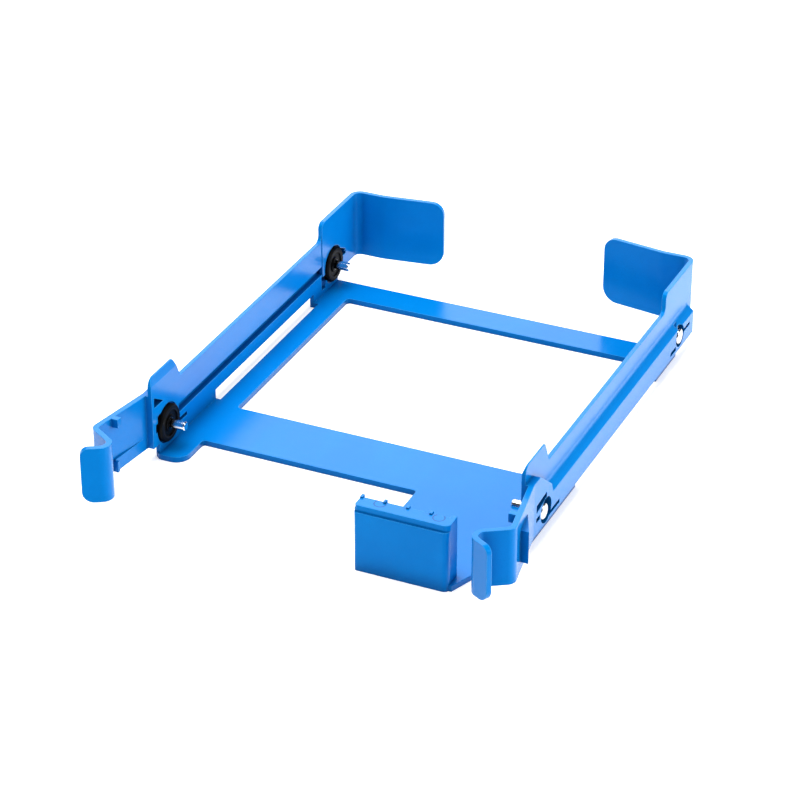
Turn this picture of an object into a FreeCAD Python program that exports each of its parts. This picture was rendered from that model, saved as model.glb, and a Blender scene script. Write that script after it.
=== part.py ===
# Hot swap drive caddy for a 3.5 inch drive: a one-piece moulded frame, four rubber
# grommets and four steel pins.  Millimetres, X across, Y towards the back, Z up.
# The side walls are drawn for the right-hand side (X positive) and mirrored.
import FreeCAD, Part
import math
import os
import Sketcher
from FreeCAD import Vector

doc = FreeCAD.newDocument("hot_swap_drive_caddy")
sheet = doc.addObject("Spreadsheet::Sheet", "dims")

SIZES = [
    # drive standard: the distance between a drive's two side holes
    ("pin_pitch", 101.6),
    # where the front pins sit in the part frame, and their height
    ("front_pin_y", -41.5), ("pin_z", 8.4),
    # base plate
    ("plate_t", 1.6), ("plate_out", 53.6), ("lobe_in", 45.0), ("lobe_y", -5.7),
    ("plate_front", 5.7), ("plate_back", 104.9),
    ("win_half", 44.7), ("win_y1", 25.0), ("win_y2", 95.4), ("win_r", 1.2),
    ("slot_in", 51.0), ("slot_y1", 27.2), ("slot_y2", 88.6),
    ("notch_x", 17.7), ("lobe_r", 4.0), ("lobe_out_r", 2.0), ("plate_r", 0.8),
    # side wall section
    ("wall_in", 52.4), ("wall_t", 1.1), ("rim_z", 18.9),
    ("skin_out", 55.6), ("skin_z", 4.3), ("shoulder_lo", 11.0), ("shoulder_hi", 12.8),
    ("bar_in", 52.4), ("bar_top", 8.2), ("groove_x", 54.0), ("groove_lo", 9.2),
    ("groove_hi", 10.8), ("wall_y1", -8.0), ("wall_y2", 113.0),
    ("seat_y1", 6.2), ("seat_y2", 95.2), ("seat_cut", 4.2), ("cap_t", 1.6), ("foot_t", 1.2),
    ("cove_r", 1.8),
    # raised ends of the wall
    ("fin_z", 25.2), ("fin_y2", 4.9), ("fin_y3", 7.8), ("fin_r", 2.6), ("fin_tip_r", 1.1),
    ("lead_z", 22.9), ("lead_edge", 0.4),
    ("wing_y1", 94.4), ("tab_z", 24.6),
    # rear tab
    ("tab_t", 1.3), ("tab_y", 118.7), ("tab_bend_x", 43.6), ("tab_end_x", 25.3),
    ("tab_end_y", 121.4), ("tab_r", 2.6), ("tab_bend_r", 12.0), ("tab_top_r", 3.8),
    ("tab_low_r", 4.6), ("wing_r", 2.0),
    # latch arm
    ("arm_t", 1.5), ("arm_z", 20.1), ("arm_low", 4.1), ("arm_x0", 54.85), ("arm_x1", 58.4),
    ("arm_y1", -27.6), ("arm_x2", 48.6), ("arm_y2", -33.8), ("arm_x3", 56.65),
    ("arm_y3", -38.4), ("arm_r1", 1.9), ("arm_r2", 2.6), ("pad_top_r", 2.2), ("pad_low_r", 3.2),
    # latch tooth, lug and rib on the arm
    ("tooth_y1", -14.6), ("tooth_y2", -22.4), ("tooth_p", 2.2), ("tooth_lo", 7.1),
    ("tooth_hi", 16.3), ("lug_p", 2.0), ("lug_y1", -22.0), ("lug_t", 1.7), ("lug_z", 17.6),
    ("foot_lug_t", 0.9), ("foot_lug_p", 1.4), ("foot_lug_z", 7.2),
    ("rib_p", 0.7), ("rib_y1", -9.0), ("rib_y2", -21.8), ("rib_z", 7.8),
    # gusset between wall and arm
    ("gus_y1", -3.0), ("gus_y2", 4.9), ("gus_z2", 13.9), ("gus_y3", 6.0),
    # pull tab
    ("pull_x1", 17.7), ("pull_x2", 43.2), ("pull_y", -32.75), ("pull_z", 18.9),
    ("pull_t", 1.6), ("pull_d", 4.75), ("pull_step", 0.6), ("pull_lip", 1.8),
    ("pull_rib_t", 0.7), ("pull_rib_pitch", 6.25), ("pull_rib_x", 18.05), ("cheek_back", 1.2),
    ("ext_x", 43.9), ("ext_y", -31.8), ("nub_p", 0.7), ("nub_h", 0.4),
    ("pull_r_right", 1.5), ("pull_r_left", 0.8),
    # grommets and pins
    ("flange_r", 5.3), ("flange_in", 51.4), ("flange_out", 52.9), ("seat_clear", 0.4),
    ("neck_r", 3.2), ("hub_r", 2.3), ("dish_r", 3.7), ("dish_t", 0.35), ("flange_edge", 0.4),
    ("bore_gap", 0.1), ("bore_end", 54.3), ("neck_end", 54.2), ("pin_r", 1.3), ("shank_r", 1.6),
    ("pin_gap", 0.05), ("shank_in", 51.3), ("tip_edge", 0.25),
    ("pin_tip", 46.9), ("head_r", 2.2), ("head_out", 55.9), ("head_dome", 0.6),
    # eyes in the outer skin round the pin heads
    ("eye_r", 3.6), ("eye_shift", 1.3), ("eye_drop", 0.3), ("rear_eye_r", 3.2), ("rear_shift", 0.3),
    # relief slits of the front seat: Y from the pin, heights from the base
    ("top_slit_y1", -5.3), ("top_slit_y2", -0.6), ("top_slit_y3", 1.6), ("top_slit_low1", 10.6),
    ("top_slit_low2", 11.4), ("top_slit_low3", 12.0), ("top_slit_high1", 12.9), ("top_slit_high3", 13.4),
    ("back_slit_y1", 3.4), ("back_slit_y2", 10.6), ("back_slit_z1", 5.2), ("back_slit_z2", 6.3),
    ("short_slit_y2", -2.9), ("short_slit_z1", 7.8), ("short_slit_z2", 9.1),
    # relief slits and openings of the rear seat, measured in the same way from its own pin
    ("rear_slit_y1", 2.6), ("rear_slit_y2", 8.4), ("rear_slit_z1", 8.2), ("rear_slit_z2", 9.2),
    ("low_slit_y1", -7.2), ("low_slit_y2", -2.8), ("low_slit_z1", 5.3), ("low_slit_z2", 6.5),
    ("high_slit_y1", -1.4), ("high_slit_y2", 0.9), ("high_slit_z1", 11.5), ("high_slit_z2", 13.2),
    ("high_slit_rise", 0.7),
    ("rear_hole_y1", 3.9), ("rear_hole_y2", 8.4), ("rear_hole_y3", 4.4), ("rear_hole_z1", 12.0),
    ("rear_hole_z2", 9.6), ("rear_hole_z3", 8.0), ("rear_hole_out", 53.8),
    ("bar_notch_y1", -7.6), ("bar_notch_y2", -5.2), ("bar_notch_z1", 3.0), ("bar_notch_z2", 7.4),
    # triangular pocket in the wall above the front seat
    ("pocket_y1", -6.8), ("pocket_y2", -1.9), ("pocket_z1", 16.2), ("pocket_z2", 19.2),
    ("pocket_out", 54.1),
]
# how far a joined shape reaches into its neighbour, and how far a cut runs past the outside
LAP = 0.5
PAST = 1.0
for row, (name, value) in enumerate(SIZES, start=1):
    sheet.set("A%d" % row, name)
    sheet.set("B%d" % row, "%g" % value)
    sheet.setAlias("B%d" % row, name)
doc.recompute()


class Dim:
    """A number together with the sheet expression that gives it."""

    def __init__(self, value, text):
        self.v = float(value)
        self.t = text

    def __add__(self, o):
        o = dim(o)
        return Dim(self.v + o.v, "(%s + %s)" % (self.t, o.t))

    def __sub__(self, o):
        o = dim(o)
        return Dim(self.v - o.v, "(%s - %s)" % (self.t, o.t))

    def __mul__(self, o):
        o = dim(o)
        return Dim(self.v * o.v, "(%s * %s)" % (self.t, o.t))

    def __neg__(self):
        return Dim(-self.v, "(0 - %s)" % self.t)


def dim(x):
    if isinstance(x, Dim):
        return x
    if isinstance(x, str):
        return Dim(sheet.get(x), "dims." + x)
    return Dim(x, "%g" % x)


def plane(body, role):
    for feature in body.Origin.OriginFeatures:
        if feature.Role == role:
            return feature
    raise ValueError(role)


def new_body(name):
    body = doc.addObject("PartDesign::Body", name)
    body.AllowCompound = True
    return body


def sketch(body, name, role, level=0):
    sk = body.newObject("Sketcher::SketchObject", name)
    sk.AttachmentSupport = [(plane(body, role), "")]
    sk.MapMode = "FlatFace"
    level = dim(level)
    sk.setExpression("AttachmentOffset.Base.z", level.t)
    return sk


def pin_down(sk, geo, pos, x, y):
    """Hold one sketch point at x, y with constraints bound to the sheet."""
    for axis, d, other in (("DistanceX", x, -2), ("DistanceY", y, -1)):
        if abs(d.v) < 1e-9:
            sk.addConstraint(Sketcher.Constraint("PointOnObject", geo, pos, other))
            continue
        i = sk.addConstraint(Sketcher.Constraint(axis, -1, 1, geo, pos, d.v))
        if "dims." in d.t:
            sk.setExpression("Constraints[%d]" % i, d.t)


def outline(sk, points):
    """Closed polygon whose corners are held by sheet values."""
    pts = [(dim(a), dim(b)) for a, b in points]
    n = len(pts)
    first = sk.GeometryCount
    for i in range(n):
        a, b = pts[i], pts[(i + 1) % n]
        sk.addGeometry(Part.LineSegment(Vector(a[0].v, a[1].v, 0), Vector(b[0].v, b[1].v, 0)))
    for i in range(n):
        sk.addConstraint(Sketcher.Constraint("Coincident", first + i, 2, first + (i + 1) % n, 1))
    for i in range(n):
        pin_down(sk, first + i, 1, pts[i][0], pts[i][1])


def circle(sk, x, y, r):
    x, y, r = dim(x), dim(y), dim(r)
    g = sk.addGeometry(Part.Circle(Vector(x.v, y.v, 0), Vector(0, 0, 1), r.v))
    pin_down(sk, g, 3, x, y)
    i = sk.addConstraint(Sketcher.Constraint("Radius", g, r.v))
    if "dims." in r.t:
        sk.setExpression("Constraints[%d]" % i, r.t)


def pad(body, sk, name, length):
    f = body.newObject("PartDesign::Pad", name)
    f.Profile = sk
    length = dim(length)
    f.Length = length.v
    if "dims." in length.t:
        f.setExpression("Length", length.t)
    sk.Visibility = False
    doc.recompute()
    return f


def pocket(body, sk, name, length):
    """Cut from the sketch plane along the plane's own normal."""
    before = body.Shape.Volume
    f = body.newObject("PartDesign::Pocket", name)
    f.Profile = sk
    length = dim(length)
    f.Length = length.v
    if "dims." in length.t:
        f.setExpression("Length", length.t)
    f.Reversed = True
    doc.recompute()
    if body.Shape.Volume > before - 1e-3:
        raise RuntimeError(name + " cuts nothing")
    return f


def add_xy(body, name, pts, z0, z1):
    sk = sketch(body, name + "_outline", "XY_Plane", z0)
    outline(sk, pts)
    return pad(body, sk, name, dim(z1) - dim(z0))


def add_xz(body, name, pts, y0, y1):
    """Section in X and Z, run from y0 back to y1 (the plane's normal is -Y)."""
    sk = sketch(body, name + "_section", "XZ_Plane", -dim(y1))
    outline(sk, pts)
    return pad(body, sk, name, dim(y1) - dim(y0))


def add_yz(body, name, pts, x0, x1):
    sk = sketch(body, name + "_profile", "YZ_Plane", x0)
    outline(sk, pts)
    return pad(body, sk, name, dim(x1) - dim(x0))


def cut_xy(body, name, pts, z0, z1):
    sk = sketch(body, name + "_outline", "XY_Plane", z0)
    outline(sk, pts)
    return pocket(body, sk, name, dim(z1) - dim(z0))


def cut_xz(body, name, pts, y0, y1):
    """Cut a section in X and Z from y1 forward to y0 (the plane's normal is -Y)."""
    sk = sketch(body, name + "_section", "XZ_Plane", -dim(y1))
    outline(sk, pts)
    return pocket(body, sk, name, dim(y1) - dim(y0))


def cut_yz(body, name, pts, x0, x1):
    sk = sketch(body, name + "_profile", "YZ_Plane", x0)
    outline(sk, pts)
    return pocket(body, sk, name, dim(x1) - dim(x0))


def cut_round(body, name, y, z, r, x0, x1):
    sk = sketch(body, name + "_circle", "YZ_Plane", x0)
    circle(sk, y, z, r)
    return pocket(body, sk, name, dim(x1) - dim(x0))


def edge_names(shape, test):
    """Names of the straight edges of a shape whose two ends pass the test."""
    out = []
    for i, e in enumerate(shape.Edges, start=1):
        if len(e.Vertexes) == 2 and test(e.Vertexes[0].Point, e.Vertexes[1].Point):
            out.append("Edge%d" % i)
    return out


def upright(spots, tol=0.05):
    """Test for vertical edges standing at one of the given X, Y spots."""
    def test(a, b):
        if abs(a.x - b.x) > 1e-4 or abs(a.y - b.y) > 1e-4 or abs(a.z - b.z) < 0.2:
            return False
        return any(abs(a.x - s[0]) < tol and abs(a.y - s[1]) < tol for s in spots)
    return test


def crosswise(spots, tol=0.05):
    """Test for edges running along X at one of the given Y, Z spots."""
    def test(a, b):
        if abs(a.y - b.y) > 1e-4 or abs(a.z - b.z) > 1e-4 or abs(a.x - b.x) < 0.2:
            return False
        return any(abs(a.y - s[0]) < tol and abs(a.z - s[1]) < tol for s in spots)
    return test


def along_y(spots, tol=0.05):
    """Test for edges running along Y at one of the given X, Z spots."""
    def test(a, b):
        if abs(a.x - b.x) > 1e-4 or abs(a.z - b.z) > 1e-4 or abs(a.y - b.y) < 0.2:
            return False
        return any(abs(a.x - s[0]) < tol and abs(a.z - s[1]) < tol for s in spots)
    return test


def fillet(body, name, test, r):
    base = body.Tip
    names = edge_names(base.Shape, test)
    if not names:
        raise RuntimeError(name + ": no edge found")
    f = body.newObject("PartDesign::Fillet", name)
    f.Base = (base, names)
    r = dim(r)
    f.Radius = r.v
    if "dims." in r.t:
        f.setExpression("Radius", r.t)
    doc.recompute()
    return f


def strip(body, name, path, radii, thick, z0, z1):
    """Bent strip of even thickness standing on edge: path of X, Y points, bend radii."""
    p = [(dim(a).v, dim(b).v) for a, b in path]
    rr = [dim(r).v for r in radii]
    half = dim(thick).v / 2.0
    sk = sketch(body, name + "_plan", "XY_Plane", z0)
    # centre line as straight runs and bends
    runs, bends = [], []
    start = Vector(p[0][0], p[0][1], 0)
    for i in range(1, len(p) - 1):
        a, b, c = (Vector(q[0], q[1], 0) for q in (p[i - 1], p[i], p[i + 1]))
        u, w = (a - b).normalize(), (c - b).normalize()
        ang = u.getAngle(w)
        back = rr[i - 1] / math.tan(ang / 2.0)
        t1, t2 = b + u * back, b + w * back
        mid = (u + w).normalize()
        centre = b + mid * (rr[i - 1] / math.sin(ang / 2.0))
        runs.append((start, t1))
        bends.append((t1, t2, centre, rr[i - 1], centre - mid * rr[i - 1]))
        start = t2
    runs.append((start, Vector(p[-1][0], p[-1][1], 0)))
    geo = []
    for side in (1.0, -1.0):
        chain = []
        for k, (a, b) in enumerate(runs):
            d = (b - a).normalize()
            off = Vector(-d.y, d.x, 0) * (half * side)
            chain.append(Part.LineSegment(a + off, b + off))
            if k < len(bends):
                t1, t2, c, r, m = bends[k]
                def shift(q):
                    left = Vector(-d.y, d.x, 0)
                    inner = (c - t1).dot(left) * side > 0
                    return c + (q - c).normalize() * (r - half if inner else r + half)
                chain.append(Part.Arc(shift(t1), shift(m), shift(t2)))
        geo.append(chain)
    left, right = geo
    end_a, end_b = left[-1].EndPoint, right[-1].EndPoint
    beg_a, beg_b = left[0].StartPoint, right[0].StartPoint
    sk.addGeometry(left + [Part.LineSegment(end_a, end_b)] + right
                   + [Part.LineSegment(beg_b, beg_a)], False)
    return pad(body, sk, name, dim(z1) - dim(z0))


# ---------------------------------------------------------------- base and pull tab
base = new_body("base_plate")
add_xy(base, "plate", [
    (-dim("plate_out"), "plate_back"), (-dim("plate_out"), "lobe_y"),
    (-dim("lobe_in"), "lobe_y"), (-dim("lobe_in"), "plate_front"),
    ("notch_x", "plate_front"), ("notch_x", dim("pull_y") + dim("pull_t") * 0.5), ("ext_x", "ext_y"),
    ("plate_out", "lobe_y"), ("plate_out", "plate_back")], 0, "plate_t")
cut_xy(base, "centre_window", [
    (-dim("win_half"), "win_y1"), ("win_half", "win_y1"),
    ("win_half", "win_y2"), (-dim("win_half"), "win_y2")], -PAST, dim("plate_t") + PAST)
for side, tag in ((1, "right"), (-1, "left")):
    cut_xy(base, tag + "_slot", [
        (dim("slot_in") * side, "slot_y1"), ((dim("plate_out") + PAST) * side, "slot_y1"),
        ((dim("plate_out") + PAST) * side, "slot_y2"), (dim("slot_in") * side, "slot_y2")],
        -PAST, dim("plate_t") + PAST)
wx = dim("win_half").v
fillet(base, "window_corners", upright([
    (sx * wx, dim(y).v) for sx in (-1, 1) for y in ("win_y1", "win_y2")]), "win_r")
fillet(base, "lobe_outer_corner", upright([(-dim("plate_out").v, dim("lobe_y").v)]), "lobe_out_r")
fillet(base, "lobe_inner_corner", upright([(-dim("lobe_in").v, dim("lobe_y").v)]), "lobe_r")
fillet(base, "plate_corners", upright([
    (-dim("lobe_in").v, dim("plate_front").v), (dim("notch_x").v, dim("plate_front").v)]), "plate_r")

# pull tab: front panel, a top ledge set back from it, a side cheek and ribs behind it
py = dim("pull_y")
back = py + "pull_d"
under = dim("pull_z") - "pull_lip"


def tab_plan(name, y0, y1, z0, z1):
    """Plan of the pull tab between y0 and y1, with its two front corners rounded."""
    x1, x2, a, b = dim("pull_x1").v, dim("pull_x2").v, dim(y0).v, dim(y1).v
    left, right = dim("pull_r_left").v, dim("pull_r_right").v
    near = 1.0 - math.sqrt(0.5)
    spots = [(x1, b), (x1, a + left), (x1 + left * near, a + left * near), (x1 + left, a),
             (x2 - right, a), (x2 - right * near, a + right * near), (x2, a + right), (x2, b)]
    p = [Vector(x, y, 0) for x, y in spots]
    sk = sketch(base, name + "_plan", "XY_Plane", z0)
    sk.addGeometry([Part.LineSegment(p[0], p[1]), Part.Arc(p[1], p[2], p[3]),
                    Part.LineSegment(p[3], p[4]), Part.Arc(p[4], p[5], p[6]),
                    Part.LineSegment(p[6], p[7]), Part.LineSegment(p[7], p[0])], False)
    return pad(base, sk, name, dim(z1) - dim(z0))


tab_plan("pull_panel", py, py + "pull_t", 0, under)
tab_plan("pull_ledge", py + "pull_step", back, under, "pull_z")
for i in range(4):
    x0 = dim("pull_rib_x") + dim("pull_rib_pitch") * i - dim("pull_rib_t") * 0.5
    add_yz(base, "pull_rib_%d" % (i + 1), [
        (py + dim("pull_t") * 0.5, 0), (back + "nub_p", 0),
        (back + "nub_p", dim("pull_z") + "nub_h"), (back - "nub_p", dim("pull_z") + "nub_h"),
        (back - "nub_p", under + dim("pull_lip") * 0.5),
        (py + dim("pull_t") * 0.5, under + dim("pull_lip") * 0.5)],
        x0, x0 + dim("pull_rib_t"))
low_y = py + "pull_r_right"
add_yz(base, "pull_cheek", [
    (low_y, 0), (back + "cheek_back", 0), (back + "cheek_back", "pull_z"),
    (low_y + "pull_step", "pull_z"), (low_y + "pull_step", under), (low_y, under)],
    dim("pull_x2") - dim("pull_t"), "pull_x2")
base.setExpression("Placement.Base.y", "dims.front_pin_y")

# ---------------------------------------------------------------- right side wall
side = new_body("side_wall")
wo = dim("wall_in") + dim("wall_t")
add_xz(side, "wall", [
    ("bar_in", "skin_z"), ("skin_out", "skin_z"), ("skin_out", "shoulder_lo"),
    (wo, "shoulder_hi"), (wo, "rim_z"), ("wall_in", "rim_z"), ("wall_in", "groove_hi"),
    ("groove_x", "groove_lo"), ("groove_x", "bar_top"), ("bar_in", "bar_top")],
    "wall_y1", "wall_y2")
fillet(side, "wall_cove", along_y([(wo.v, dim("shoulder_hi").v)]), "cove_r")
# solid seats round the grommets and end caps, where the inner groove stops
pitch = dim("pin_pitch")
for tag, y0, y1 in (("front_cap", "wall_y1", dim("wall_y1") + "cap_t"),
                    ("front", -dim("seat_cut"), "seat_y1"),
                    ("rear", "seat_y2", pitch + "seat_cut"),
                    ("rear_cap", dim("wall_y2") - dim("cap_t") * 2, "wall_y2")):
    add_xz(side, tag + "_seat", [
        ("bar_in", dim("bar_top") - LAP), (dim("groove_x") + LAP, dim("bar_top") - LAP),
        (dim("groove_x") + LAP, dim("groove_lo") + LAP),
        (wo - LAP * 0.5, dim("groove_hi") + LAP), ("bar_in", dim("groove_hi") + LAP)],
        y0, y1)
# feet that join the wall to the base plate ahead of and behind the side slot
for tag, y0, y1 in (("front", dim("lobe_y") + 1.0, "slot_y1"), ("rear", "slot_y2", "plate_back")):
    add_xz(side, tag + "_foot", [
        ("bar_in", 0), (dim("bar_in") + dim("foot_t"), 0),
        (dim("bar_in") + dim("foot_t"), dim("skin_z") + LAP), ("bar_in", dim("skin_z") + LAP)],
        y0, y1)
# raised front fin, with a sloping lead-in along the inside of its top edge
add_yz(side, "front_fin", [
    ("wall_y1", dim("rim_z") - LAP), ("wall_y1", "fin_z"), ("fin_y2", "fin_z"),
    ("fin_y3", "rim_z"), ("fin_y3", dim("rim_z") - LAP)], "wall_in", wo)
fillet(side, "fin_corner", crosswise([(dim("wall_y1").v, dim("fin_z").v)]), "fin_r")
fillet(side, "fin_tip", crosswise([(dim("fin_y2").v, dim("fin_z").v)]), "fin_tip_r")
cut_xz(side, "fin_lead_in", [
    (dim("wall_in") - PAST, "lead_z"), ("wall_in", "lead_z"), (wo - "lead_edge", "fin_z"),
    (wo - "lead_edge", dim("fin_z") + PAST), (dim("wall_in") - PAST, dim("fin_z") + PAST)],
    dim("wall_y1") - PAST, dim("fin_y3") + PAST)
# gusset carrying the arm
add_yz(side, "gusset", [
    ("wall_y1", "skin_z"), ("wall_y1", "arm_z"), ("gus_y1", "arm_z"), ("gus_y2", "gus_z2"),
    ("gus_y3", "shoulder_lo"), ("gus_y3", "skin_z")], wo - LAP, "skin_out")
# raised rear wing and the tab turned in behind the drive
wing_x = wo - dim("tab_t") * 0.5
strip(side, "rear_tab", [
    (wing_x, "wing_y1"), (wing_x, "tab_y"),
    ("tab_bend_x", "tab_y"), ("tab_end_x", "tab_end_y")], ["tab_r", "tab_bend_r"], "tab_t",
    "skin_z", "tab_z")
fillet(side, "wing_corner", crosswise([(dim("wing_y1").v, dim("tab_z").v)]), "wing_r")
fillet(side, "wing_root", crosswise([(dim("wing_y1").v, dim("rim_z").v)]), "wing_r")


def short_edges_near(x, y, z, reach):
    """Test for the short edges through the thickness of a strip's free end."""
    def test(a, b):
        mid = (a + b) * 0.5
        return (abs(a.z - b.z) < 1e-4 and abs(mid.z - z) < 0.05
                and math.hypot(mid.x - x, mid.y - y) < reach and (a - b).Length < 2.0)
    return test


tx, ty = dim("tab_end_x").v, dim("tab_end_y").v
fillet(side, "tab_top_corner", short_edges_near(tx, ty, dim("tab_z").v, 0.3), "tab_top_r")
fillet(side, "tab_low_corner", short_edges_near(tx, ty, dim("skin_z").v, 0.3), "tab_low_r")
# latch arm with its finger pad
strip(side, "latch_arm", [
    ("arm_x0", dim("wall_y1") + 1.0), ("arm_x1", "arm_y1"), ("arm_x2", "arm_y2"),
    ("arm_x3", "arm_y3")], ["arm_r1", "arm_r2"], "arm_t", "arm_low", "arm_z")
px, pay = dim("arm_x3").v, dim("arm_y3").v
fillet(side, "pad_top_corner", short_edges_near(px, pay, dim("arm_z").v, 0.3), "pad_top_r")
fillet(side, "pad_low_corner", short_edges_near(px, pay, dim("arm_low").v, 0.3), "pad_low_r")
# direction of the arm's straight run, used for what stands on it
ax0, ay0 = dim("arm_x0").v, dim("wall_y1").v + 1.0
slope = (dim("arm_x1").v - ax0) / (dim("arm_y1").v - ay0)


def arm_x(y, offset):
    return ax0 + slope * (dim(y).v - ay0) + offset


half_arm = dim("arm_t").v / 2.0
add_xy(side, "latch_tooth", [
    (arm_x("tooth_y1", half_arm - 0.6), "tooth_y1"), (arm_x("tooth_y1", half_arm), "tooth_y1"),
    (Dim(arm_x("tooth_y2", half_arm), "%g" % arm_x("tooth_y2", half_arm)) + dim("tooth_p"), "tooth_y2"),
    (arm_x("tooth_y2", half_arm - 0.6), "tooth_y2")], "tooth_lo", "tooth_hi")
ly2 = dim("lug_y1") + dim("lug_t")
add_xy(side, "arm_lug", [
    (arm_x("lug_y1", 0), "lug_y1"), (arm_x("lug_y1", 0), ly2),
    (Dim(arm_x("lug_y1", -half_arm), "%g" % arm_x("lug_y1", -half_arm)) - dim("lug_p"), ly2),
    (Dim(arm_x("lug_y1", -half_arm), "%g" % arm_x("lug_y1", -half_arm)) - dim("lug_p"), "lug_y1")],
    "lug_z", "arm_z")
add_xy(side, "arm_rib", [
    (arm_x("rib_y1", 0), "rib_y1"), (arm_x("rib_y1", -half_arm), "rib_y1"),
    (Dim(arm_x("rib_y2", -half_arm), "%g" % arm_x("rib_y2", -half_arm)) - dim("rib_p"), "rib_y2"),
    (arm_x("rib_y2", 0), "rib_y2")], "arm_low", "rib_z")
fy2 = dim("lug_y1") + dim("foot_lug_t")
add_xy(side, "foot_lug", [
    (arm_x("lug_y1", 0), "lug_y1"), (arm_x("lug_y1", 0), fy2),
    (Dim(arm_x("lug_y1", -half_arm), "%g" % arm_x("lug_y1", -half_arm)) - dim("foot_lug_p"), fy2),
    (Dim(arm_x("lug_y1", -half_arm), "%g" % arm_x("lug_y1", -half_arm)) - dim("foot_lug_p"), "lug_y1")],
    "arm_low", "foot_lug_z")

# grommet bores, the shallow round recess for each flange, and the relief slots
pz = dim("pin_z")
for tag, y in (("front", dim(0)), ("rear", dim("pin_pitch"))):
    cut_round(side, tag + "_recess", y, pz, dim("flange_r") + dim("seat_clear"),
              dim("wall_in") - 2, "flange_out")
    cut_round(side, tag + "_bore", y, pz, dim("neck_r") + dim("bore_gap"),
              dim("wall_in") - 2, "bore_end")


# eye in the outer skin round each pin head
outside = dim("skin_out") + PAST
through = dim("wall_in") - PAST
cut_round(side, "front_eye", dim("eye_shift"), pz - "eye_drop", "eye_r", "flange_out", outside)
cut_round(side, "rear_eye", pitch + "rear_shift", pz, "rear_eye_r", "groove_x", outside)


def relief(name, pin_y, corners, x0, x1):
    """Cut a slit or opening; its corners are (Y from the pin, height)."""
    return cut_yz(side, name, [(pin_y + y, z) for y, z in corners], x0, x1)


def slit(name, pin_y, y0, y1, z0, z1, x0, x1):
    """Cut a straight slit between two heights."""
    return relief(name, pin_y, [(y0, z0), (y1, z0), (y1, z1), (y0, z1)], x0, x1)


# relief slits that let the seats give, then the openings beside them
first = dim(0)
relief("front_slit_top", first, [
    ("top_slit_y1", "top_slit_low1"), ("top_slit_y1", "top_slit_high1"),
    ("top_slit_y3", "top_slit_high3"), ("top_slit_y3", "top_slit_low3"),
    ("top_slit_y2", "top_slit_low2")], through, outside)
slit("front_slit_back", first, "back_slit_y1", "back_slit_y2", "back_slit_z1", "back_slit_z2",
     through, outside)
slit("front_slit_short", first, "top_slit_y1", "short_slit_y2", "short_slit_z1", "short_slit_z2",
     through, outside)
slit("rear_slit_back", pitch, "rear_slit_y1", "rear_slit_y2", "rear_slit_z1", "rear_slit_z2",
     through, outside)
slit("rear_slit_front", pitch, "low_slit_y1", "low_slit_y2", "low_slit_z1", "low_slit_z2",
     through, outside)
relief("rear_slit_top", pitch, [
    ("high_slit_y1", "high_slit_z1"), ("high_slit_y1", "high_slit_z2"),
    ("high_slit_y2", dim("high_slit_z2") + "high_slit_rise"),
    ("high_slit_y2", dim("high_slit_z1") + "high_slit_rise")], "groove_x", outside)
relief("rear_opening", pitch, [
    ("rear_hole_y1", "rear_hole_z1"), ("rear_hole_y2", "rear_hole_z2"),
    ("rear_hole_y3", "rear_hole_z3")], through, "rear_hole_out")
slit("rear_bar_notch", pitch, "bar_notch_y1", "bar_notch_y2", "bar_notch_z1", "bar_notch_z2",
     through, "groove_x")
relief("front_pocket", first, [
    ("pocket_y1", "pocket_z2"), ("pocket_y1", "pocket_z1"), ("pocket_y2", "pocket_z1")],
    through, "pocket_out")
side.setExpression("Placement.Base.y", "dims.front_pin_y")
doc.recompute()

mirror = doc.addObject("Part::Mirroring", "left_side_wall")
mirror.Source = side
mirror.Base = (0, 0, 0)
mirror.Normal = (1, 0, 0)
frame = doc.addObject("Part::MultiFuse", "caddy_frame")
frame.Shapes = [base, side, mirror]
frame.Refine = True
frame.Label = "caddy_frame"
doc.recompute()


# ---------------------------------------------------------------- grommets and pins
def turned(name, points, y, left):
    """A piece turned about an X axis at the pin height; points are (x, radius)."""
    body = new_body(name)
    body.Label = name
    sk = sketch(body, name + "_half_section", "XZ_Plane", 0)
    outline(sk, points)
    f = body.newObject("PartDesign::Revolution", name + "_turned")
    f.Profile = sk
    f.ReferenceAxis = (sk, ["H_Axis"])
    f.Angle = 360.0
    body.setExpression("Placement.Base.z", "dims.pin_z")
    body.setExpression("Placement.Base.y", (dim("front_pin_y") + y).t)
    if left:
        body.Placement.Rotation = FreeCAD.Rotation(Vector(0, 0, 1), 180)
    doc.recompute()
    return body


fi = dim("flange_in")
grommet_section = [
    (fi, dim("shank_r") + dim("pin_gap")), (fi, "hub_r"), (fi + dim("dish_t"), "hub_r"),
    (fi + dim("dish_t"), "dish_r"), (fi, "dish_r"), (fi, dim("flange_r") - "flange_edge"),
    (fi + "flange_edge", "flange_r"), ("flange_out", "flange_r"), ("flange_out", "neck_r"),
    ("neck_end", "neck_r"), ("neck_end", dim("shank_r") + dim("pin_gap"))]
pin_section = [
    ("pin_tip", 0), ("pin_tip", dim("pin_r") - "tip_edge"), (dim("pin_tip") + "tip_edge", "pin_r"),
    ("shank_in", "pin_r"), ("shank_in", "shank_r"), ("neck_end", "shank_r"),
    ("neck_end", "head_r"), ("head_out", "head_r"), ("head_out", 0)]


def round_head(body):
    """Dome the rim of a pin's head."""
    base = body.Tip
    names = []
    for i, e in enumerate(base.Shape.Edges, start=1):
        if (isinstance(e.Curve, Part.Circle) and abs(e.Curve.Radius - dim("head_r").v) < 1e-4
                and abs(e.Curve.Center.x - dim("head_out").v) < 1e-4):
            names.append("Edge%d" % i)
    if len(names) != 1:
        raise RuntimeError("the head has %d rims" % len(names))
    f = body.newObject("PartDesign::Fillet", body.Name + "_dome")
    f.Base = (base, names)
    f.Radius = dim("head_dome").v
    f.setExpression("Radius", "dims.head_dome")
    doc.recompute()


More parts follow.
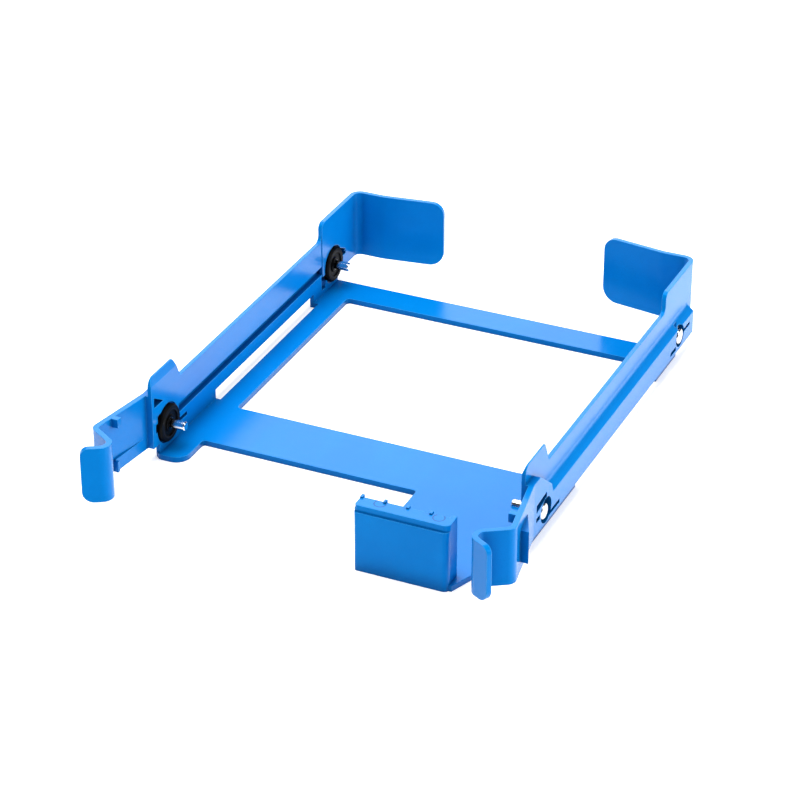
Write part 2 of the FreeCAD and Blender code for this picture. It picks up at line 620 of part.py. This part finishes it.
pieces = [frame]
for where, y in (("front", dim(0)), ("rear", dim("pin_pitch"))):
    for hand in ("left", "right"):
        pieces.append(turned("%s_%s_grommet" % (where, hand), grommet_section, y, hand == "left"))
        pieces.append(turned("%s_%s_pin" % (where, hand), pin_section, y, hand == "left"))
        round_head(pieces[-1])
doc.recompute()

# ---------------------------------------------------------------- checks and files
for obj in doc.Objects:
    if "Invalid" in obj.State or "Error" in obj.State:
        raise RuntimeError("%s failed: %s" % (obj.Name, obj.State))
for piece in pieces:
    if piece.Shape.isNull() or not piece.Shape.isValid():
        raise RuntimeError(piece.Label + " has no valid shape")
    if len(piece.Shape.Solids) != 1:
        raise RuntimeError("%s has %d solids" % (piece.Label, len(piece.Shape.Solids)))
os.makedirs("parts", exist_ok=True)
for piece in pieces:
    piece.Shape.exportStep("parts/%s.step" % piece.Label)
    box = piece.Shape.BoundBox
    print("%-22s volume %9.1f  x %.2f %.2f  y %.2f %.2f  z %.2f %.2f" % (
        piece.Label, piece.Shape.Volume, box.XMin, box.XMax, box.YMin, box.YMax,
        box.ZMin, box.ZMax))
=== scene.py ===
# %% [markdown]
# A hot swap drive caddy, dressed for its portrait.
#
# The caddy is the blue tray that carries one 3.5 inch disk drive into a server. The real one has three
# materials: one large blue moulding, four black rubber grommets that take up vibration, and four bright
# steel pins that enter the drive's side holes. The solid model already has each piece at its real size, so
# this lesson keeps those shapes and gives each one its finish, a floor, soft lamps and a camera.

import math
import bpy
from mathutils import Euler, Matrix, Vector


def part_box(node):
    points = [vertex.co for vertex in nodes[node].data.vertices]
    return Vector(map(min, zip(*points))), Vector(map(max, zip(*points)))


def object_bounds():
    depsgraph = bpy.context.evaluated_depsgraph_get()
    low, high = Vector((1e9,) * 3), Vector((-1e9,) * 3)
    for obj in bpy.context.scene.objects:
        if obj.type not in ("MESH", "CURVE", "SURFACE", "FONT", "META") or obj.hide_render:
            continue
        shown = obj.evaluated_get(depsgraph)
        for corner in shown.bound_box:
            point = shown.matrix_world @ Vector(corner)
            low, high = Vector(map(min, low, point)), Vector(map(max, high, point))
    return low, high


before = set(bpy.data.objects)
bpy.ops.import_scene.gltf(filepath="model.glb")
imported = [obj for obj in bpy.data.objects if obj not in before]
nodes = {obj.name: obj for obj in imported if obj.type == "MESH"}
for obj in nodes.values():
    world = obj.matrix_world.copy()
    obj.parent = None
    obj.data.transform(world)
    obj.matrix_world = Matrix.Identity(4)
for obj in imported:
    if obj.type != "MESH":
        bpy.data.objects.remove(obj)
solid_low, solid_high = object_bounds()
MM = 0.001
print("pieces:", sorted(nodes))
print("model box in mm:", [round(v / MM, 1) for v in (*solid_low, *solid_high)])

# %% [markdown]
# A procedural material is a small graph of nodes. Writing `graph.nodes.new(...)` and
# `graph.links.new(...)` for every step hides the idea of the material in plumbing, so the next cell makes
# one short helper that adds a node, sets its values and joins its inputs in a single call. A value given
# as a number goes on the node's own socket, and a value given as another node's output becomes a link.

# %% A helper for node graphs


class Graph:
    """A node tree that adds, sets and joins nodes in one call each."""

    def __init__(self, tree):
        self.graph = tree

    def feed(self, node, **inputs):
        for name, value in inputs.items():
            key = int(name[1:]) if name[0] == "i" and name[1:].isdigit() else name.replace("_", " ")
            if isinstance(value, bpy.types.NodeSocket):
                self.graph.links.new(value, node.inputs[key])
            else:
                node.inputs[key].default_value = value
        return node

    def add(self, kind, settings=None, **inputs):
        node = self.graph.nodes.new("ShaderNode" + kind)
        for name, value in (settings or {}).items():
            setattr(node, name, value)
        return self.feed(node, **inputs)

    def math(self, operation, a, b=0.0, c=0.0):
        return self.add("Math", {"operation": operation}, i0=a, i1=b, i2=c).outputs[0]

    def split(self, vector):
        """The X, Y and Z outputs of a vector."""
        return self.add("SeparateXYZ", None, Vector=vector).outputs

    def length(self, a, b):
        """The distance that two steps at right angles add up to."""
        return self.math("SQRT", self.math("MULTIPLY_ADD", a, a, self.math("MULTIPLY", b, b)))

    def noise(self, place, per_metre, detail=3.0, roughness=0.55):
        node = self.add("TexNoise", None, Vector=place, Scale=per_metre)
        return self.feed(node, Detail=detail, Roughness=roughness).outputs["Fac"]

    def spread(self, value, low, high, to_low=0.0, to_high=1.0):
        """Stretches value, so that low..high becomes to_low..to_high, and holds it there."""
        node = self.add("MapRange", {"interpolation_type": "SMOOTHSTEP"}, Value=value)
        return self.feed(
            node, From_Min=low, From_Max=high, To_Min=to_low, To_Max=to_high
        ).outputs[0]

    def mix_colour(self, factor, a, b):
        """Goes from colour a, at a factor of 0, to colour b, at 1. Sockets 6 and 7 are its colours."""
        node = self.add("Mix", {"data_type": "RGBA"}, i0=factor)
        a, b = (v if isinstance(v, bpy.types.NodeSocket) else (*v, 1.0) for v in (a, b))
        return self.feed(node, i6=a, i7=b).outputs[2]

    def bump(self, height, depth, strength, normal):
        node = self.add("Bump", None, Height=height, Distance=depth, Strength=strength, Normal=normal)
        return node.outputs["Normal"]

    def soft_edge(self, radius):
        """A normal that turns round every edge as if the edge had this radius."""
        return self.add("Bevel", {"samples": 6}, Radius=radius).outputs["Normal"]

    def object_place(self):
        return self.add("TexCoord").outputs["Object"]


class Finish(Graph):
    """A material with its node graph, and a Principled shader ready to be fed."""

    def __init__(self, name):
        self.material = bpy.data.materials.new(name)
        self.material.use_nodes = True
        super().__init__(self.material.node_tree)
        self.shader = self.graph.nodes["Principled BSDF"]

    def dress(self, *names):
        """Puts this finish in every material slot of the named pieces."""
        for name in names:
            mesh = nodes[name].data
            if not mesh.materials:
                mesh.materials.append(self.material)
            for number in range(len(mesh.materials)):
                mesh.materials[number] = self.material
        print(self.material.name, "->", ", ".join(names))


# %% [markdown]
# The caddy body is injection moulded in one shot from a pigmented plastic. Up close such a surface is not
# one flat blue. The pigment clouds a little, it streaks where the melt flowed, and the steel mould leaves
# a very fine grain. A picture texture would need unwrapped faces and would stretch on thin walls, so the
# pattern is made from noise on Object coordinates, which are metres measured in the model's own frame.

# %% Pigment of the blue plastic
BLUE = (0.0004, 0.218, 0.65)
BLUE_CLOUD = (0.0007, 0.232, 0.68)
BLUE_DEEP = (0.0002, 0.195, 0.605)
CLOUDS, STREAKS, GRAINS = 45.0, 160.0, 2600.0  # of each in a metre
ALONG_FLOW = (1.0, 0.22, 1.0)  # the melt ran along Y, so streaks are long that way

plastic = Finish("blue_moulded_plastic")
place = plastic.object_place()
cloud = plastic.noise(place, CLOUDS, 4.0)
grain = plastic.noise(place, GRAINS, 2.0)
stretched = plastic.add("Mapping", None, Vector=place, Scale=ALONG_FLOW).outputs[0]
flow = plastic.noise(stretched, STREAKS, 3.0, 0.6)

colour = plastic.mix_colour(plastic.spread(cloud, 0.35, 0.7), BLUE_DEEP, BLUE)
colour = plastic.mix_colour(plastic.spread(flow, 0.45, 0.75, 0.0, 0.45), colour, BLUE_CLOUD)
colour = plastic.mix_colour(plastic.spread(grain, 0.45, 0.7, 0.0, 0.8), colour, BLUE_DEEP)
print("blue:", BLUE, "with", int(CLOUDS), "clouds and", int(GRAINS), "grains in a metre")

# %% [markdown]
# Two painted lighting effects that depend on the shape break up the flat blue. Painted shade: a sheltered
# corner is painted a deeper blue, standing in for light that bounces between two blue walls and turns
# bluer each time, and the Ambient Occlusion node finds those corners. Painted highlight: a thin edge,
# which light reaches from both of its sides, is painted paler. It is found where the rounded normal turns
# away from the true one, outside the sheltered corners.

# %% Painted corner shade and painted edge highlights of the plastic
PAINTED_SHADE_BLUE, PAINTED_HIGHLIGHT_BLUE = (0.0, 0.066, 0.24), (0.07, 0.46, 0.96)
SHELTER = 7.0 * MM
EDGE_R = 0.32 * MM
PAINTED_HIGHLIGHT_SHARE = 0.6

shelter = plastic.add("AmbientOcclusion", {"samples": 8}, Distance=SHELTER).outputs["AO"]
# Painted shade: corners found by the Ambient Occlusion node are painted a deeper blue.
colour = plastic.mix_colour(plastic.spread(shelter, 0.2, 1.0), PAINTED_SHADE_BLUE, colour)

round_normal = plastic.soft_edge(EDGE_R)
true_normal = plastic.add("NewGeometry").outputs["Normal"]
facing = plastic.add("VectorMath", {"operation": "DOT_PRODUCT"}, i0=round_normal, i1=true_normal)
turned = plastic.spread(facing.outputs["Value"], 0.995, 0.90)
# Painted highlight: open edges are painted a paler blue.
painted_edge_highlight = plastic.math("MULTIPLY", turned, plastic.spread(shelter, 0.55, 0.8, 0.0, PAINTED_HIGHLIGHT_SHARE))
colour = plastic.mix_colour(painted_edge_highlight, colour, PAINTED_HIGHLIGHT_BLUE)
print("edges are paler over", round(EDGE_R / MM, 2), "mm, corners deeper over", round(SHELTER / MM), "mm")

# %% [markdown]
# Two thin rings of painted shade, in the same deep blue as the painted corners, are drawn on the ledge of
# the pull tab. Each one is drawn from the distance to its own centre, and only above the height of the
# ledge's underside, so that nothing below is marked.

# %% Painted shade rings on the pull tab
MARK_XS, MARK_Y = (23.4 * MM, 39.3 * MM), -70.7 * MM
MARK_R, MARK_LINE, MARK_SHARE = 1.5 * MM, 0.18 * MM, 0.75
LEDGE_UNDERSIDE = 17.0 * MM

where = plastic.split(place)
along = plastic.math("SUBTRACT", where["Y"], MARK_Y)
marks = plastic.math("GREATER_THAN", where["Z"], LEDGE_UNDERSIDE)
rings = [
    plastic.math(
        "COMPARE",
        plastic.length(plastic.math("SUBTRACT", where["X"], mark_x), along),
        MARK_R,
        MARK_LINE,
    )
    for mark_x in MARK_XS
]
marks = plastic.math("MULTIPLY", marks, plastic.math("MAXIMUM", *rings))
# Painted shade: the two rings are mixed in with the painted shade blue.
colour = plastic.mix_colour(plastic.math("MULTIPLY", marks, MARK_SHARE), colour, PAINTED_SHADE_BLUE)
print("ejector marks:", len(rings), "of", round(2 * MARK_R / MM, 1), "mm across")

# %% [markdown]
# Gloss is what tells plastic from paint. The roughness follows the streaks and the grain, and the bump
# gives both a little depth under the rounded normal. A blue tint on the highlights keeps the glare of
# the panels on the blue side, as it is on this deep, clear pigment.

# %% Gloss and grain of the plastic
FLOW_DEPTH, GRAIN_DEPTH = 0.04 * MM, 0.02 * MM
GLOSS_TINT = (0.0, 0.25, 1.0, 1.0)

roughness = plastic.math("MULTIPLY_ADD", grain, 0.05, plastic.spread(flow, 0.3, 0.7, 0.13, 0.20))
skin = plastic.bump(flow, FLOW_DEPTH, 0.35, round_normal)
skin = plastic.bump(grain, GRAIN_DEPTH, 0.45, skin)
plastic.feed(plastic.shader, Base_Color=colour, Roughness=roughness, Normal=skin)
plastic.feed(plastic.shader, IOR=1.5, Specular_Tint=GLOSS_TINT)
plastic.dress("caddy_frame")

# %% [markdown]
# Each grommet is a soft black rubber bush: a round flange inside the wall and a neck through it, so the
# drive's vibration does not reach the server's chassis. Rubber has a dull sheen and picks up pale dust. A
# thin pale ring round the bush is a painted highlight. The ring is drawn from the distance to the bush's
# own axis, and the axis is found from the piece's box. So each bush has its own copy of the finish.

# %% Black rubber
CORNERS = ("front_left", "front_right", "rear_left", "rear_right")
RUBBER, RUBBER_WORN = (0.0012, 0.0012, 0.0012), (0.003, 0.003, 0.0035)
RUBBER_DUST, RUBBER_RING_HIGHLIGHT = (0.03, 0.03, 0.034), (0.04, 0.04, 0.043)
RING_R, RING_LINE, RING_SHARE = 3.95 * MM, 0.22 * MM, 0.25
DUST_SPECKS, FILM_PATCHES = 900.0, 120.0  # of each in a metre
RUBBER_EDGE_R, DUST_DEPTH = 0.25 * MM, 0.03 * MM


def rubber_finish(corner):
    """The rubber finish, with its painted highlight ring centred on the axis of this corner's bush."""
    rubber = Finish("black_rubber_" + corner)
    low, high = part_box(corner + "_grommet")
    axis = (low + high) / 2
    place = rubber.object_place()
    centred = rubber.add("Mapping", None, Vector=place, Location=(0.0, -axis.y, -axis.z))
    out = rubber.split(centred.outputs[0])
    ring_highlight = rubber.math("COMPARE", rubber.length(out["Y"], out["Z"]), RING_R, RING_LINE)
    dust = rubber.noise(place, DUST_SPECKS, 5.0, 0.7)
    film = rubber.noise(place, FILM_PATCHES, 3.0)
    colour = rubber.mix_colour(rubber.spread(film, 0.35, 0.7), RUBBER, RUBBER_WORN)
    colour = rubber.mix_colour(rubber.spread(dust, 0.66, 0.82, 0.0, 0.2), colour, RUBBER_DUST)
    # Painted highlight: a thin pale ring round the bush's axis.
    colour = rubber.mix_colour(rubber.math("MULTIPLY", ring_highlight, RING_SHARE), colour, RUBBER_RING_HIGHLIGHT)
    rubber.feed(rubber.shader, Base_Color=colour, Roughness=rubber.spread(film, 0.3, 0.7, 0.42, 0.62))
    rubber.feed(rubber.shader, IOR=1.5, Specular_IOR_Level=0.08)
    skin = rubber.bump(dust, DUST_DEPTH, 0.4, rubber.soft_edge(RUBBER_EDGE_R))
    rubber.feed(rubber.shader, Normal=skin)
    return rubber


for corner in CORNERS:
    rubber_finish(corner).dress(corner + "_grommet")

# %% [markdown]
# The pins are turned from steel bar and plated. A lathe leaves fine rings round the bar, so the steel
# shines along its length in a narrow streak and is dark beside it. The rings follow the distance along
# the pin, which is X in this frame, and a wave of that distance drives both the bump and the roughness.
# Painted reflection: where a pin goes into its bush, a short band of the steel is painted nearly black,
# standing in for the black rubber mirrored in the polished steel.

# %% Turned steel
STEEL, STEEL_BRIGHT, STEEL_MIRRORED_RUBBER = (0.72, 0.73, 0.74), (0.88, 0.88, 0.89), (0.012, 0.012, 0.013)
MIRROR_BAND_X, MIRROR_BAND_HALF = 52.0 * MM, 1.2 * MM
LATHE_RINGS, SMUDGES = 1900.0, 700.0
STEEL_EDGE_R, LATHE_DEPTH = 0.12 * MM, 0.006 * MM

steel = Finish("turned_steel")
place = steel.object_place()
wave = {"wave_type": "BANDS", "bands_direction": "X", "wave_profile": "SIN"}
lathe = steel.add("TexWave", wave, Vector=place, Scale=LATHE_RINGS)
lathe = steel.feed(lathe, Distortion=0.6, Detail=2.0, Detail_Scale=3.0).outputs["Fac"]
smudge = steel.noise(place, SMUDGES, 4.0)
colour = steel.mix_colour(steel.spread(smudge, 0.4, 0.7), STEEL, STEEL_BRIGHT)
from_middle = steel.math("ABSOLUTE", steel.split(place)["X"])
# Painted reflection: the band next to the bush is painted as the black rubber mirrored in the steel.
colour = steel.mix_colour(
    steel.math("COMPARE", from_middle, MIRROR_BAND_X, MIRROR_BAND_HALF), colour, STEEL_MIRRORED_RUBBER
)
roughness = steel.math("MULTIPLY_ADD", lathe, 0.05, steel.spread(smudge, 0.3, 0.7, 0.07, 0.16))
skin = steel.bump(lathe, LATHE_DEPTH, 0.5, steel.soft_edge(STEEL_EDGE_R))
steel.feed(steel.shader, Base_Color=colour, Metallic=1.0, Roughness=roughness, Normal=skin)
steel.dress(*(corner + "_pin" for corner in CORNERS))

# %% [markdown]
# A product stands on a white sweep, so that nothing competes with its outline. A plane a few metres wide
# does the same here. Its own colour is a plain pale grey that takes the caddy's soft shadow. For rays that
# come from the camera, glance off gloss or pass through, a little light of its own lifts the paper to
# white, and that light never falls on the caddy. The Light Path node tells these rays from the others.

# %% Floor
FLOOR, FLOOR_SIZE, FLOOR_GAP = (0.86, 0.86, 0.87, 1.0), 6.0, 0.02 * MM
WHITE, PAPER_LIFT = (1.0, 1.0, 1.0, 1.0), 0.45

bpy.ops.mesh.primitive_plane_add(size=FLOOR_SIZE, location=(0.0, 0.0, solid_low.z - FLOOR_GAP))
floor = bpy.context.object
floor.name = "paper_floor"

paper = Finish("white_paper")
rays = paper.add("LightPath").outputs
seen = paper.math("MAXIMUM", rays["Is Camera Ray"], rays["Is Glossy Ray"])
seen = paper.math("MAXIMUM", seen, rays["Is Transmission Ray"])
paper.feed(paper.shader, Base_Color=FLOOR, Roughness=0.9, Specular_IOR_Level=0.1)
lift = paper.add("Emission", None, Color=WHITE, Strength=paper.math("MULTIPLY", seen, PAPER_LIFT))
both = paper.add("AddShader", None, i0=paper.shader.outputs[0], i1=lift.outputs[0])
paper.feed(paper.graph.nodes["Material Output"], Surface=both.outputs[0])
floor.data.materials.append(paper.material)
print("floor top at", round(floor.location.z / MM, 3), "mm")

# %% [markdown]
# The room gives an even light from all sides. The camera sees it plain white, and the caddy is lit by
# about half of that. The gloss sees it dim, as in a studio with dark walls above the white sweep, so that
# only the sweep and the panels shine in the plastic and the steel.

# %% Room
ROOM_LIGHT, ROOM_GLOSS, ROOM_SEEN = 0.56, 0.08, 1.0

world = bpy.data.worlds.new("soft_room")
bpy.context.scene.world = world
world.use_nodes = True
air = Graph(world.node_tree)
rays = air.add("LightPath").outputs
straight = air.math("MAXIMUM", rays["Is Camera Ray"], rays["Is Transmission Ray"])
strength = air.math("MULTIPLY_ADD", rays["Is Glossy Ray"], ROOM_GLOSS - ROOM_LIGHT, ROOM_LIGHT)
strength = air.math("MAXIMUM", strength, air.math("MULTIPLY", straight, ROOM_SEEN))
air.feed(air.graph.nodes["Background"], Color=WHITE, Strength=strength)
print("room lights", ROOM_LIGHT, "and is seen at", ROOM_SEEN)

# %% [markdown]
# Product light is wide and soft. One large panel overhead makes the shadow shallow, and one smaller panel
# from the right lights the faces that look that way. A window-like panel behind the caddy shines back off
# the level plate as a pale glare. Panels are area lamps: the wider they are, the softer the shadow's edge.

# %% Lamps


def panel(name, at, aim, width, watts):
    data = bpy.data.lights.new(name, "AREA")
    data.shape = "SQUARE"
    data.size = width
    data.energy = watts
    lamp = bpy.data.objects.new(name, data)
    bpy.context.scene.collection.objects.link(lamp)
    lamp.location = at
    lamp.rotation_euler = (aim - lamp.location).to_track_quat("-Z", "Y").to_euler()
    print(name, "gives", watts, "W over", width, "m")


middle = (solid_low + solid_high) / 2
panel("overhead_panel", (-0.15, 0.0, 1.05), middle, 0.7, 10.5)
panel("window_panel", (-0.45, 0.95, 0.62), middle, 0.9, 6.0)
panel("side_panel", (0.95, 0.25, 0.35), middle, 0.5, 5.8)

# %% [markdown]
# The camera stands to the right of the front, a little above the caddy, with a long lens so that the far
# tabs look nearly as large as the near ones. It is placed by its azimuth, elevation and distance from an
# aim point close to the middle of the caddy.

# %% Camera
AZIMUTH, ELEVATION, DISTANCE = 24.45, 29.84, 0.77705
AIM = middle + Vector((-1.62, -3.75, -5.2)) * MM
LENS, SENSOR, CLIP_START = 129.233, 36.0, 0.01

az, el = math.radians(AZIMUTH), math.radians(ELEVATION)
away = Vector((math.sin(az) * math.cos(el), -math.cos(az) * math.cos(el), math.sin(el)))
data = bpy.data.cameras.new("portrait_camera")
data.lens, data.sensor_width, data.sensor_fit = LENS, SENSOR, "HORIZONTAL"
data.clip_start = CLIP_START
camera = bpy.data.objects.new("portrait_camera", data)
bpy.context.scene.collection.objects.link(camera)
camera.location = AIM + away * DISTANCE
camera.rotation_euler = Euler((math.pi / 2 - el, 0.0, az))
bpy.context.scene.camera = camera
bpy.context.scene.view_settings.view_transform = "Standard"
print("camera at", [round(v, 4) for v in camera.location])
